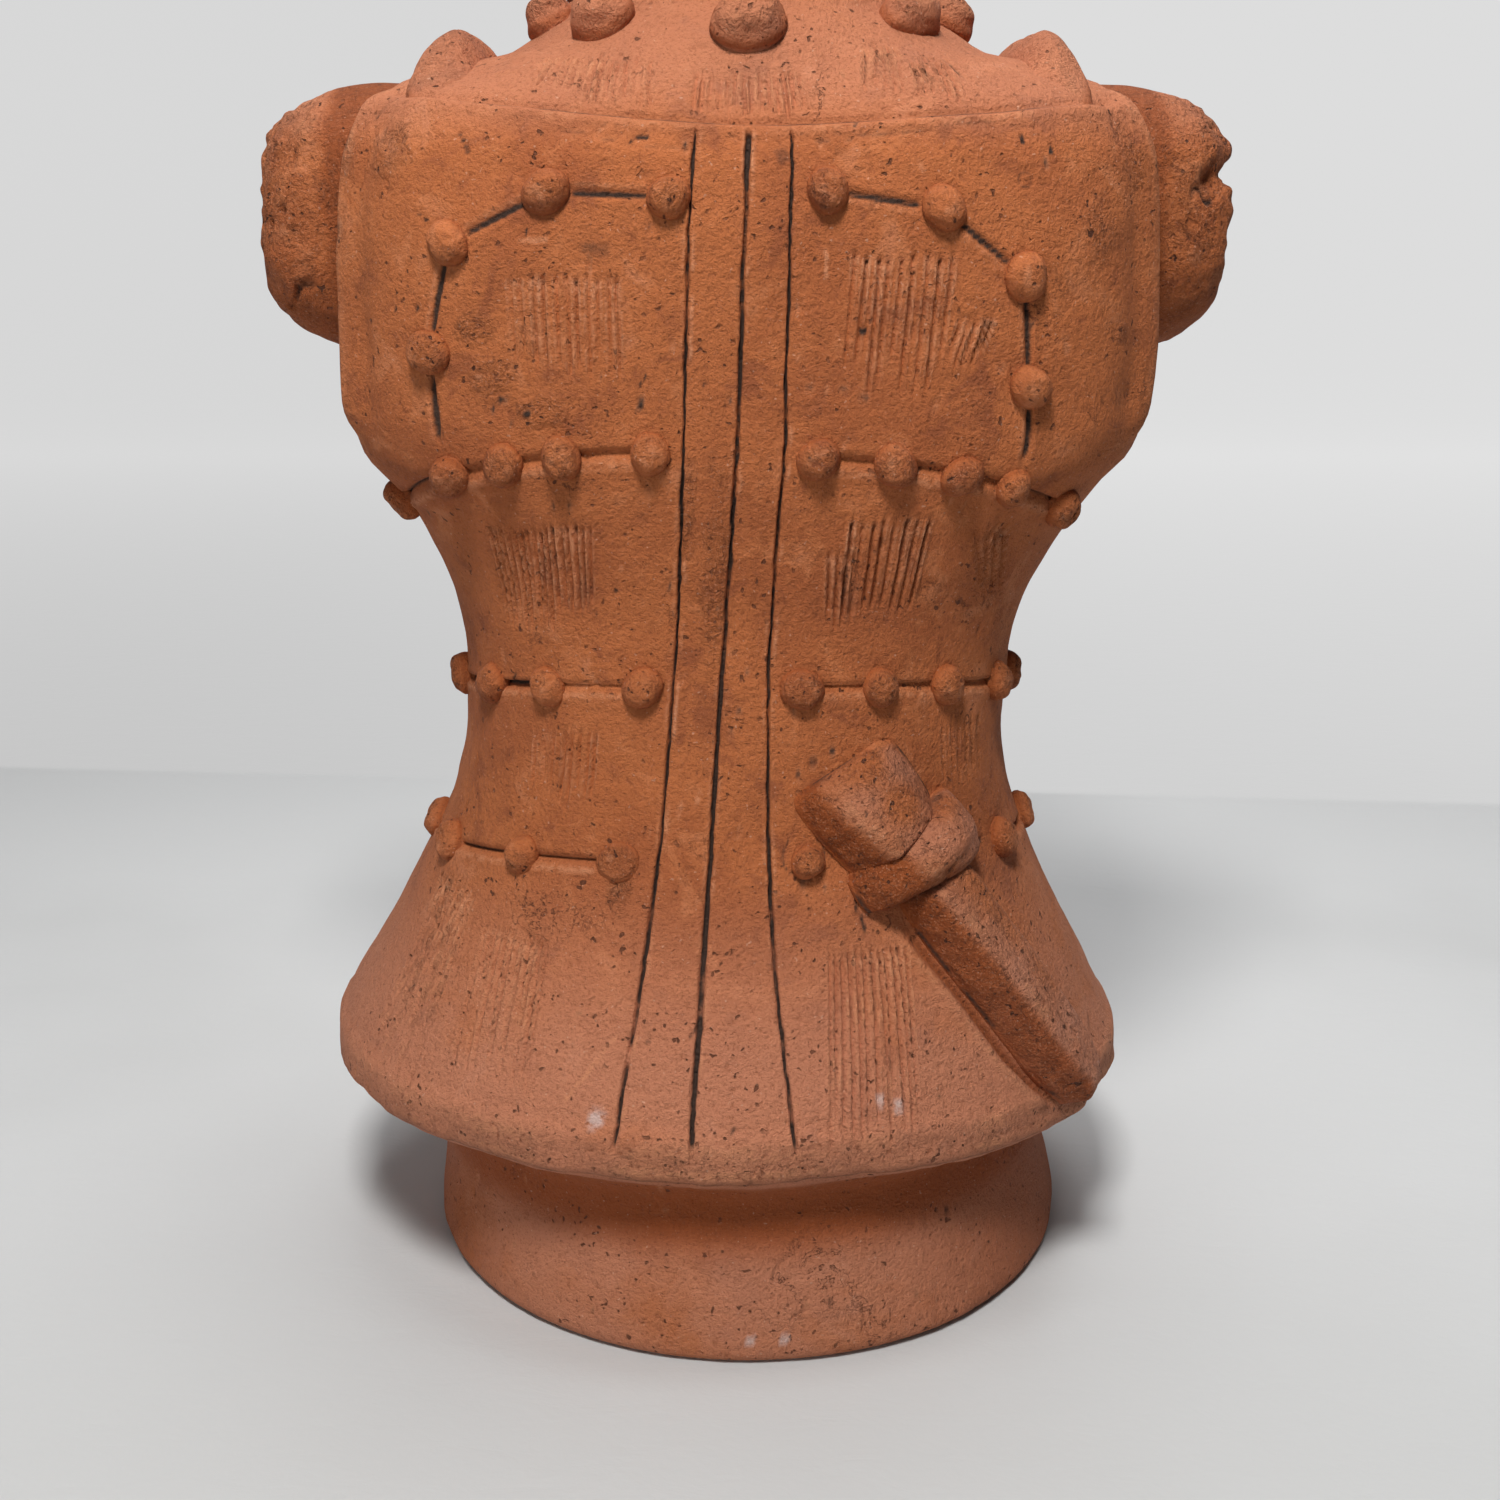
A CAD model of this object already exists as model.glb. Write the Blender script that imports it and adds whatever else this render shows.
"""A haniwa, the hollow terracotta half figure of a man in armour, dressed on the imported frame.

Shapes are worked out in millimetres and become metres when a mesh is made. Azimuth is measured
round the body in degrees: 0 in front (-Y), 90 towards +X, which is the figure's left arm, 180 behind.
"""

import bpy
import numpy as np
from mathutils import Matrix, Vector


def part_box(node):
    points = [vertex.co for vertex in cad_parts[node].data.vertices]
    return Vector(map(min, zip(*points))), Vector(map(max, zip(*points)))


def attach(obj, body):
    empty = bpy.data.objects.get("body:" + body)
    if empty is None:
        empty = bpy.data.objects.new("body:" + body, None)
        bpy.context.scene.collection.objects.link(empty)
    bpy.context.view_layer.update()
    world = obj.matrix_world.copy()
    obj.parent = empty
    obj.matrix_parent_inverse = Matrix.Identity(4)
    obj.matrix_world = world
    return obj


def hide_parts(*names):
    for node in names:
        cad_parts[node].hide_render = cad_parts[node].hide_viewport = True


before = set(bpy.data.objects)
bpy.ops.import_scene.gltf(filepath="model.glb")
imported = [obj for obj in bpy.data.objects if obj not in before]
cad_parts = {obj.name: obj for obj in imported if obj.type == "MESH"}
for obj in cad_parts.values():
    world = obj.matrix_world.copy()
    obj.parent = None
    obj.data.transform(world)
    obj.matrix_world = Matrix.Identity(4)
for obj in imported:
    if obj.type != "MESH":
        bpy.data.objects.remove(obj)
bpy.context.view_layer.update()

NODE = "haniwa_figure"
node_low, node_high = (np.array(corner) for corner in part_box(NODE))


# ---------------------------------------------------------------- camera
# The camera stands before the breast, tipped down so that the skirt and the
# foot are seen a little from above. The head rises out of the frame.

CAMERA_HEIGHT = 0.350
CAMERA_DISTANCE = 0.616
CAMERA_PITCH = 16.0
CAMERA_SIDE = 0.0015
CAMERA_LENS = 43.2
CAMERA_SENSOR = 36.0

lens = bpy.data.cameras.new("camera")
lens.lens = CAMERA_LENS
lens.sensor_width = CAMERA_SENSOR
camera = bpy.data.objects.new("camera", lens)
camera.location = (CAMERA_SIDE, -CAMERA_DISTANCE, CAMERA_HEIGHT)
camera.rotation_euler = (np.radians(90 - CAMERA_PITCH), 0, 0)
bpy.context.collection.objects.link(camera)
bpy.context.scene.camera = camera


# ---------------------------------------------------------------- studio
# A pale painted floor, lit by a soft lamp high in front of the figure, a weak
# one on the left and one from above. Behind a line it is a glowing backdrop
# that lies flat and turns up far away, so that a camera can stand behind too.

SEAM_Y = 0.525
SEAM_SLANT = -0.084  # how far the seam comes forward for each metre across
SEAM_WIDTH = 0.012
COVE_RADIUS = 1.2
STAGE_HALF_WIDTH = 4.0
STAGE_FRONT = -2.6
STAGE_BACK = 3.6
STAGE_TOP = 2.6
STAGE_COLUMNS = 60
FLOOR_COLOUR = (0.585, 0.595, 0.60)
FLOOR_FRONT_COLOUR = (0.54, 0.55, 0.55)
FLOOR_BACK_COLOUR = (0.72, 0.73, 0.735)
FLOOR_CLOUD_COLOUR = (0.50, 0.505, 0.505)
GLOW_LOW = 0.515
GLOW_AWAY = 0.165
GLOW_RIGHT = 0.085
GLOW_SPAN = (0.0, 4.2)  # metres back and up over which it grows
RIGHT_SPAN = (-0.6, 0.6)


def mesh_object(name, points, faces):
    """A mesh object from points in metres, smooth shaded, with its object at the origin."""
    mesh = bpy.data.meshes.new(name)
    mesh.from_pydata(points.reshape(-1, 3), [], faces)
    mesh.polygons.foreach_set("use_smooth", np.ones(len(mesh.polygons), dtype=bool))
    made = bpy.data.objects.new(name, mesh)
    bpy.context.collection.objects.link(made)
    return made


def open_faces(rows, columns):
    """Quads between neighbouring rows and columns of a grid."""
    row, column = np.mgrid[: rows - 1, : columns - 1]
    corner = row * columns + column
    return np.stack([corner, corner + 1, corner + columns + 1, corner + columns], -1).reshape(-1, 4)


def stage_surface():
    """Floor, a quarter circle and wall, drawn as one profile and carried across."""
    turn = np.radians(np.linspace(-90, 0, 17))[:, None]
    floor = np.linspace([STAGE_FRONT, 0], [STAGE_BACK - COVE_RADIUS, 0], 40, endpoint=False)
    bend = (STAGE_BACK, 0) + COVE_RADIUS * np.concatenate([np.cos(turn) - 1, np.sin(turn) + 1], 1)
    wall = np.linspace([STAGE_BACK, COVE_RADIUS], [STAGE_BACK, STAGE_TOP], 30)[1:]
    profile = np.concatenate([floor, bend, wall])
    x = np.linspace(-STAGE_HALF_WIDTH, STAGE_HALF_WIDTH, STAGE_COLUMNS)
    points = np.empty((len(profile), x.size, 3))
    points[..., 0], points[..., 1:] = x, profile[:, None]
    return points


def feed(node, given):
    """Sets a node's sockets: a link for each Value, and anything else as it is."""
    for key, value in given.items():
        if isinstance(value, Value):
            value.tree.links.new(value.socket, node.inputs[key])
        else:
            node.inputs[key].default_value = value


class Value:
    """One output of a shader tree. + - * on it add Math nodes, and node() adds any other."""

    def __init__(self, tree, socket):
        self.tree = tree
        self.socket = socket

    def node(self, kind, inputs, output=0, **settings):
        """Adds a node: its settings first, then the value or link of each input."""
        made = self.tree.nodes.new(kind)
        for key, setting in settings.items():
            setattr(made, key, setting)
        feed(made, inputs)
        return Value(self.tree, made.outputs[output])

    def math(self, operation, first, second=0.0):
        return self.node("ShaderNodeMath", {0: first, 1: second}, operation=operation)

    def __add__(self, other):
        return self.math("ADD", self, other)

    def __sub__(self, other):
        return self.math("SUBTRACT", self, other)

    def __rsub__(self, other):
        return self.math("SUBTRACT", other, self)

    def __mul__(self, other):
        return self.math("MULTIPLY", self, other)

    __radd__, __rmul__ = __add__, __mul__

    def window(self, low, high):
        """0 below low and 1 above high, or the other way round, with a soft step between."""
        inputs = {"Value": self, "From Min": low, "From Max": high}
        return self.node("ShaderNodeMapRange", inputs, interpolation_type="SMOOTHSTEP")

    def noise(self, scale, detail=2.0, roughness=0.5, distortion=0.0):
        """Noise at this place, around 0.5, with `scale` bumps a metre."""
        inputs = {"Vector": self, "Scale": scale, "Detail": detail, "Roughness": roughness}
        return self.node("ShaderNodeTexNoise", inputs | {"Distortion": distortion})

    def stretched(self, x, y, z):
        """This place with each direction multiplied."""
        return self.node("ShaderNodeVectorMath", {0: self, 1: (x, y, z)}, operation="MULTIPLY")

    def axis(self, name):
        """One coordinate of this place."""
        return self.node("ShaderNodeSeparateXYZ", {0: self}, output=name)

    def toward(self, colour, share):
        """This colour mixed with another one by a share."""
        inputs = {0: share, 6: self, 7: (*colour, 1)}
        return self.node("ShaderNodeMix", inputs, output=2, data_type="RGBA")


def new_material(name):
    """An empty node material and its Principled shader, with a Value that reads object coordinates."""
    material = bpy.data.materials.new(name)
    material.use_nodes = True
    tree = material.node_tree
    shader = tree.nodes["Principled BSDF"]
    place = Value(tree, tree.nodes.new("ShaderNodeTexCoord").outputs["Object"])
    return material, shader, place


def stage_material():
    """Flat paint with faint clouds and the ripples of a trowelled floor, and the glow behind it."""
    material, shader, place = new_material("stage_paint")
    across, depth = place.axis("X"), place.axis("Y")
    behind = (depth - across * SEAM_SLANT).window(SEAM_Y - SEAM_WIDTH, SEAM_Y)
    away = (depth + place.axis("Z")).window(*GLOW_SPAN)
    right = across.window(*RIGHT_SPAN)
    glow = (GLOW_LOW + GLOW_AWAY * away + GLOW_RIGHT * right * (1.0 - 0.55 * away)) * behind
    ripple = place.stretched(0.55, 1.0, 1.0).noise(75.0, 4.0, 0.6, 0.6)
    colour = place.toward(FLOOR_COLOUR, 1.0).toward(FLOOR_FRONT_COLOUR, depth.window(0.0, -0.22))
    colour = colour.toward(FLOOR_BACK_COLOUR, depth.window(-0.25, 0.45) * (0.65 + 0.35 * right))
    colour = colour.toward(FLOOR_CLOUD_COLOUR, place.noise(3.0, 3.0).window(0.45, 0.75) * 0.35)
    relief = place.noise(420.0, 2.0) * 0.5 + ripple * 2.2
    bump = place.node("ShaderNodeBump", {"Height": relief, "Strength": 0.16, "Distance": 0.001})
    feed(shader, {"Base Color": colour.toward((0, 0, 0), behind), "Emission Color": glow,
                  "Emission Strength": 1.0, "Roughness": 0.55, "Specular IOR Level": 0.3,
                  "Normal": bump})
    return material


def lamp(name, place, aim, size, power, colour=(1.0, 1.0, 1.0)):
    """A square area lamp at a place, turned to face a point."""
    light = bpy.data.lights.new(name, "AREA")
    light.size, light.energy, light.color = size, power, colour
    made = bpy.data.objects.new(name, light)
    made.location = place
    x, y, z = np.array(aim) - np.array(place)
    made.rotation_euler = (np.arctan2(np.hypot(x, y), -z), 0, np.arctan2(-x, y))
    bpy.context.collection.objects.link(made)


stage_points = stage_surface()
stage = mesh_object("studio", stage_points, open_faces(*stage_points.shape[:2]))
stage.data.materials.append(stage_material())

lamp("key", (-0.07, -0.66, 1.14), (0, 0, 0.20), 0.24, 12.8, (1.0, 0.985, 0.965))
lamp("side", (-1.00, -1.25, 0.45), (0, 0, 0.15), 0.9, 4.4)
lamp("back", (0.15, 0.22, 1.6), (0.15, 0.5, 0.35), 0.9, 12.5)

room = bpy.data.worlds.new("room")
room.use_nodes = True
room.node_tree.nodes["Background"].inputs["Color"].default_value = (0.93, 0.95, 1.0, 1)
room.node_tree.nodes["Background"].inputs["Strength"].default_value = 0.05
bpy.context.scene.world = room
bpy.context.scene.view_settings.view_transform = "Standard"


# ---------------------------------------------------------------- body wall
# Foot, flared skirt, armour breast and collar are one wall of coarse red clay,
# built up from coils, smoothed by hand and left open below and at the neck.

# height, half width, half depth, squareness of the section (2 is an ellipse)
TORSO = np.array([
    [0, 112, 112, 2], [4, 114.5, 114.5, 2], [20, 112.5, 112.5, 2], [40, 109, 108.5, 2],
    [54, 109, 107, 2], [62, 125, 111, 2], [65.5, 137, 116, 2], [71, 141.5, 120, 2],
    [80, 141, 120, 2], [88, 136.5, 117, 2], [128, 113.5, 97.5, 2.1], [150, 103.5, 89, 2.1],
    [168, 97, 83.5, 2.15], [190, 93.2, 80, 2.2], [212, 93.2, 78, 2.25], [232, 96.5, 77, 2.35],
    [259, 108, 80, 2.6], [272, 117, 82, 2.8], [283, 126, 83.5, 3], [296, 129, 84, 3.2],
    [345, 127, 85, 3.3], [368, 125, 83, 3.2], [380, 120, 79, 3], [388, 110, 75, 2.7],
    [392, 98, 72, 2.5], [397, 87, 69, 2.3], [403, 77, 66, 2.15], [411, 66, 60, 2],
    [416, 58, 54, 2], [436, 55, 51, 2],
])
HOLLOW = np.array([
    [-2, 101, 101, 2], [30, 98, 98, 2], [54, 97, 94, 2], [76, 111, 98, 2], [105, 113, 96, 2.05],
    [128, 101, 86, 2.1], [150, 91, 77, 2.1], [168, 85, 71.5, 2.15], [190, 81, 68, 2.2],
    [212, 81, 66, 2.25], [245, 89, 66.5, 2.4], [272, 104, 70, 2.7], [296, 114, 72, 3],
    [345, 115, 73, 3.1], [366, 112, 71, 3], [377, 103, 66, 2.8], [383, 90, 62, 2.5],
    [389, 76, 58, 2.3], [398, 60, 51, 2.1], [414, 47, 43, 2], [446, 43, 40, 2],
    [470, 48, 46, 2], [510, 50, 50, 2], [550, 50, 51, 2], [566, 44, 45, 2], [576, 30, 31, 2],
    [580, 12, 12, 2],
])
# height, shift in x where the soft body was pushed to one side
LEAN = np.array([[0, -0.5], [40, -3], [75, -8.5], [120, -7.5], [200, -5], [250, -2.5], [290, -0.5]])
MM = 0.001  # metres in a millimetre
AXIS_SHIFT = 1.5  # from the middle of the node's box to the body's axis
AXIS = np.array([(node_low[0] + node_high[0]) / 2 / MM + AXIS_SHIFT, 0, 0])
BODY_TOP = 424.0
INNER_ROWS = 10

SHOULDER_RISE = 7.0
SHOULDER_SPAN = (360, 386, 392, 406)  # heights where it starts, is full, falls and ends
SAG = 3.2  # how much lower the skirt hangs at the figure's left front

# degrees between columns and mm between rows of the grid: first the place, then the gap there;
# and the gaps on a cut, a lacing row and the collar's edge
CUT_GAP, LACING_GAP, EDGE_GAP = 0.13, 0.8, 0.55
COLUMN_GAPS = np.array([
    [-180, 5.5], [-97, 4.5], [-88, 1.3], [-72, 0.9], [-68, 0.52], [-54, 0.50], [-51, 0.33],
    [-22, 0.33], [-19, 0.54], [12, 0.54], [14, 0.33], [50, 0.33], [62, 0.62], [78, 1.1],
    [92, 1.8], [104, 4.5], [180, 5.5],
]).T
ROW_GAPS = np.array([
    [0, 1.2], [6, 2.0], [12, 4.0], [40, 3.6], [56, 2.0], [60, 1.3], [74, 1.3], [86, 1.9],
    [132, 2.1], [146, 3.6], [226, 3.4], [230, 1.8], [266, 1.8], [270, 3.2], [300, 2.4],
    [336, 1.5], [363, 1.1], [384, 1.3], [400, 2.2], [BODY_TOP, 3.0],
]).T

# lacing rows: height in front, dip at the sides, tilt
CHEST_ROW = (287.0, 27.0, 3.5)
WAIST_ROW = (215.0, 10.0, 0.0)
HIP_ROW = (160.5, 9.5, -1.0)
LACING_ROWS = (HIP_ROW, WAIST_ROW, CHEST_ROW)
COLLAR_EDGE = 380.3

# front opening: azimuth of each long cut at its top, at the waist and at the hem
CUTS = np.array([[-10.5, -14, -16], [0, -3.2, -4.6], [8.6, 7.4, 10.8]])
CUT_TOP, CUT_BOTTOM = 376.0, 78.0
CUT_HALF_WIDTH = (0.42, 0.60, 0.42)
CUT_DEPTH = 2.4
CUT_BRIDGE = 104.8  # where a later scratch closed the first cut
WALL_MARKS = ("soot", "worn", "broken", "deep", "lime")


def smoothstep(low, high, x):
    """0 at low, 1 at high, level at both."""
    share = np.clip((x - low) / (high - low), 0, 1)
    return share * share * (3 - 2 * share)


def bell(across, width):
    """A smooth hump of height 1 that is mostly within `width` either side."""
    return np.exp(-((across / width) ** 2))


def read_table(table, place):
    """A table's columns at any place, by cubic pieces whose slopes never overshoot the rows."""
    stations, values = table[:, 0], table[:, 1:]
    chord = np.diff(values, axis=0) / np.diff(stations)[:, None]
    agree = np.maximum(chord[:-1] * chord[1:], 0)
    both = chord[:-1] + chord[1:]
    inner = 2 * agree / np.where(both == 0, 1, both)
    slope = np.concatenate([chord[:1], inner, chord[-1:]])
    low = np.clip(np.searchsorted(stations, place) - 1, 0, len(stations) - 2)
    step = (stations[low + 1] - stations[low])[..., None]
    t = np.clip((place - stations[low])[..., None] / step, 0, 1)
    start = (1 + 2 * t) * (1 - t) ** 2 * values[low] + t * (1 - t) ** 2 * step * slope[low]
    end = t * t * (3 - 2 * t) * values[low + 1] + t * t * (t - 1) * step * slope[low + 1]
    return start + end


def section_radius(angle, half_width, half_depth, squareness):
    """Distance from the axis to a rounded rectangle: (|sin|/w)^n + (|cos|/d)^n = r^-n."""
    wide = np.abs(np.sin(angle) / half_width) ** squareness
    deep = np.abs(np.cos(angle) / half_depth) ** squareness
    return (wide + deep) ** (-1 / squareness)


def span(x, start, full, fall, end):
    """0 up to start, 1 from full to fall, and 0 again from end on."""
    return smoothstep(start, full, x) * (1 - smoothstep(fall, end, x))


def wall_points(table, azimuth, height):
    """The wall at an azimuth and height: its section's radius, its lean, and the raised shoulders."""
    angle = np.radians(azimuth)
    half_width, half_depth, squareness = np.moveaxis(read_table(table, height), -1, 0)
    radius = section_radius(angle, half_width, half_depth, squareness)
    rise = SHOULDER_RISE * span(height, *SHOULDER_SPAN) * np.sin(angle) ** 2
    sag = SAG * span(azimuth, 15, 55, 85, 130) * span(height, 56, 66, 80, 120)
    x = read_table(LEAN, height)[..., 0] + radius * np.sin(angle)
    return np.stack([x, -radius * np.cos(angle), height + rise - sag], -1)


def lumps(points, size, seed):
    """Smooth random relief between -1 and 1: seeded values on a lattice of this size, blended."""
    lattice = np.random.default_rng(seed).uniform(-1, 1, (16, 16, 16))
    cell = points / size
    base = np.floor(cell).astype(int)
    part = smoothstep(0, 1, cell - base)
    total = np.zeros(points.shape[:-1])
    for corner in np.ndindex(2, 2, 2):
        share = np.prod(np.where(corner, part, 1 - part), axis=-1)
        i, j, k = np.moveaxis((base + corner) % 16, -1, 0)
        total += share * lattice[i, j, k]
    return total


def patches(points, size, seed, low, high):
    """0 to 1 in patches: 0 where lumps of this size stay under `low`, 1 where they pass `high`."""
    return smoothstep(low, high, lumps(points, size, seed))


def drying_cracks(points, size, seed, start, full, area, low, high=0.5):
    """1 in thin cracks, where two sizes of lumps change sign together, in some areas only."""
    coarse, fine = np.abs(lumps(points, size, seed)), np.abs(lumps(points, size / 2.3, seed + 1))
    thin = smoothstep(start, full, 1 - (0.65 * coarse + 0.35 * fine))
    return thin * patches(points, area, seed + 2, low, high)


def unit(vectors):
    return vectors / np.linalg.norm(vectors, axis=-1, keepdims=True)


def swollen(points, relief):
    """Grids of closed rings moved outward by a relief, square to the slopes both ways."""
    across = np.roll(points, -1, axis=-2) - np.roll(points, 1, axis=-2)
    outward = unit(np.cross(across, np.gradient(points, axis=-3)))
    return points + outward * relief[..., None]


def ring_faces(rows, columns, joined):
    """Quads between rings of columns that close on themselves; joined rows close into a tube."""
    row, column = np.mgrid[: rows if joined else rows - 1, :columns]
    after = (column + 1) % columns
    above = (row + 1) % rows
    low, high = row * columns, above * columns
    return np.stack([low + column, low + after, high + after, high + column], -1).reshape(-1, 4)


def finished_clay(name, points, faces, marks):
    """A mesh of clay about the body's axis, with its marks, its material and its place in the frame."""
    made = mesh_object(name, (points + AXIS) * MM, faces)
    for mark, values in marks.items():
        layer = made.data.attributes.new(mark, "FLOAT", "POINT")
        values = np.broadcast_to(values, points.shape[:-1]).astype(np.float32)
        layer.data.foreach_set("value", values.ravel())
    made.data.materials.append(terracotta)
    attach(made, "root")
    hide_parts(NODE)


def clay_object(name, grids, marks, joined=False):
    """One mesh of equal grids of points, [grid, row, column, xyz]. Columns close into rings, and
    the rows are joined into a tube or end in flat caps."""
    count, rows, columns, _ = grids.shape
    starts = np.arange(count)[:, None, None] * rows * columns
    faces = (ring_faces(rows, columns, joined)[None] + starts).reshape(-1, 4).tolist()
    if not joined:
        ring = np.arange(columns)
        faces += (ring[::-1] + starts[:, 0]).tolist()
        faces += (ring + (rows - 1) * columns + starts[:, 0]).tolist()
    finished_clay(name, grids, faces, marks)


def terracotta_material():
    """Coarse fired clay: orange-red body, clouds of brown and of pale dust, grit, pits and soot.

    It reads six marks of the mesh: soot in cuts and cracks, worn on rubbed edges, broken where
    the clay was torn or crumbled, deep where no dust ever settled, dust, and lime stains.
    """
    material, shader, place = new_material("terracotta")
    soot, worn, broken, deep, dust, splashed = (
        place.node("ShaderNodeAttribute", {}, output="Fac", attribute_name=name)
        for name in ("soot", "worn", "broken", "deep", "dust", "lime"))
    height = place.axis("Z")
    clouds = place.noise(14.0, 4.0, 0.6, 0.4)
    blotches = place.noise(52.0, 5.0, 0.65, 0.6)
    grit = place.noise(1100.0, 3.0, 0.7)
    crumbs = place.noise(420.0, 4.0, 0.65)
    wiped = place.stretched(1.0, 1.0, 0.16).noise(330.0, 3.0, 0.6)
    turned = place.stretched(0.22, 0.22, 1.0).noise(300.0, 3.0, 0.6)
    film = height.window(0.165, 0.095) * 1.1 + height.window(0.372, 0.392) * 0.8
    film = film * clouds.window(0.24, 0.50) + blotches.window(0.56, 0.74) * 0.35 + dust
    pit_spread = place.noise(60.0, 2.0).window(0.38, 0.60)
    pits = place.noise(430.0, 1.0, 0.5).window(0.32, 0.26) * (pit_spread + broken * 0.8)
    cracks = place.noise(85.0, 5.0, 0.65, 0.5) - 0.5
    cracks = cracks.math("ABSOLUTE", cracks).window(0.009, 0.002)
    cracks = cracks * (place.noise(26.0, 1.0).window(0.64, 0.74) + broken * 0.7)
    lime = place.noise(42.0, 5.0, 0.7).window(0.735, 0.775) * height.window(0.16, 0.10) * 0.65
    lime = lime + splashed * crumbs.window(0.30, 0.55) * 0.75
    black = (soot + (crumbs - 0.5) * soot * 1.2).window(0.12, 0.75)

    colour = place.toward((0.44, 0.132, 0.042), 1.0)
    for tint, share in (
        ((0.35, 0.098, 0.032), clouds.window(0.44, 0.64) * 0.85),
        ((0.50, 0.162, 0.056), blotches.window(0.52, 0.66) * 0.75),
        ((0.27, 0.076, 0.028), blotches.window(0.46, 0.32) * 0.85),
        ((0.53, 0.218, 0.128), film * 0.66),
        ((0.29, 0.062, 0.010), deep * 0.90),
        ((0.56, 0.24, 0.14), grit.window(0.56, 0.72) * 0.35 * wiped.window(0.4, 0.6)),
        ((0.20, 0.055, 0.021), grit.window(0.48, 0.30) * 0.55),
        ((0.24, 0.068, 0.026), crumbs.window(0.45, 0.30) * (0.38 + broken * 0.5)),
        ((0.10, 0.032, 0.015), pits * 0.85),
        ((0.12, 0.038, 0.018), cracks * 0.8),
        ((0.56, 0.22, 0.11), broken * grit.window(0.54, 0.66) * 0.55),
        ((0.62, 0.26, 0.13), worn * crumbs.window(0.34, 0.60) * 0.85),
        ((0.62, 0.47, 0.43), lime),
        ((0.66, 0.42, 0.30), place.noise(900.0, 0.0).window(0.80, 0.83) * 0.3),
        ((0.034, 0.023, 0.018), black * 0.96),
    ):
        colour = colour.toward(tint, share)

    relief = grit * 1.0 + crumbs * 1.9 + wiped * 0.45 + turned * 0.2
    relief = relief - pits * 1.3 - cracks * 1.2 + broken * (crumbs * 2.6 + grit * 0.8)
    bump = place.node("ShaderNodeBump", {"Height": relief, "Strength": 1.0, "Distance": 0.00075})
    feed(shader, {"Base Color": colour, "Roughness": 0.80 + crumbs * 0.14 + black * 0.04,
                  "Normal": bump, "Specular IOR Level": 0.28})
    return material


terracotta = terracotta_material()


def positions(place, gap):
    """Grid positions whose spacing follows `gap` at each place: equal steps of the sum of 1 / gap."""
    steps = np.cumsum(1 / gap) * (place[1] - place[0])
    return np.interp(np.arange(1, int(steps[-1])), steps, place)


def row_offset(row, azimuth):
    """How far a lacing row lies below or above its front height at an azimuth."""
    _, dip, tilt = row
    side = np.sin(np.radians(azimuth))
    return -dip * side**4 - tilt * side


def cut_azimuth(cut, height):
    """Azimuth of a front cut: a parabola through its three given azimuths."""
    middle = (CUT_TOP + CUT_BOTTOM) / 2
    t = (np.clip(height, CUT_BOTTOM, CUT_TOP) - middle) / (CUT_TOP - middle)
    top, waist, hem = cut
    return waist + (top - hem) / 2 * t + ((top + hem) / 2 - waist) * t * t


def collar_edge_offset(azimuth):
    """The top edge of the armour climbs a little towards the shoulders."""
    near = np.clip(azimuth, -60, 60)
    return 0.0008 * near**2 - 0.02 * near


def body_grid():
    """Azimuth and height of each outer grid point; lines of the grid follow cuts and lacing rows."""
    fine = np.linspace(-180, 180, 36001)
    gap = np.interp(fine, *COLUMN_GAPS)
    for _, waist, _ in CUTS:
        gap = np.minimum(gap, CUT_GAP + 0.20 * np.abs(fine - waist))
    column = positions(fine, gap)
    fine = np.linspace(0, BODY_TOP, 20001)
    gap = np.interp(fine, *ROW_GAPS)
    for height, least in (*((row[0], LACING_GAP) for row in LACING_ROWS), (COLLAR_EDGE, EDGE_GAP)):
        gap = np.minimum(gap, least + 0.28 * np.abs(fine - height))
    row = positions(fine, gap)

    stops = [-30, *CUTS[:, 1], 30]
    near_cut = [np.interp(column, stops, np.eye(5)[i + 1]) for i in range(3)]
    moved = np.stack([cut_azimuth(cut, row) - cut[1] for cut in CUTS], -1)
    azimuth = column[None, :] + moved @ np.array(near_cut)

    # grid rows bend with the lacing rows, 1 to 3, and the collar's edge, 5, and are level at the rest
    heights = [100.0, *(lacing[0] for lacing in LACING_ROWS), 340.0, COLLAR_EDGE, 400.0]
    offsets = {i + 1: row_offset(lacing, azimuth) for i, lacing in enumerate(LACING_ROWS)}
    offsets[5] = collar_edge_offset(azimuth)
    height = np.repeat(row[:, None], column.size, axis=1)
    for i, offset in offsets.items():
        share = np.interp(row, heights, np.eye(len(heights))[i], left=0, right=0)
        height = height + share[:, None] * offset
    return azimuth, height


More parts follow.
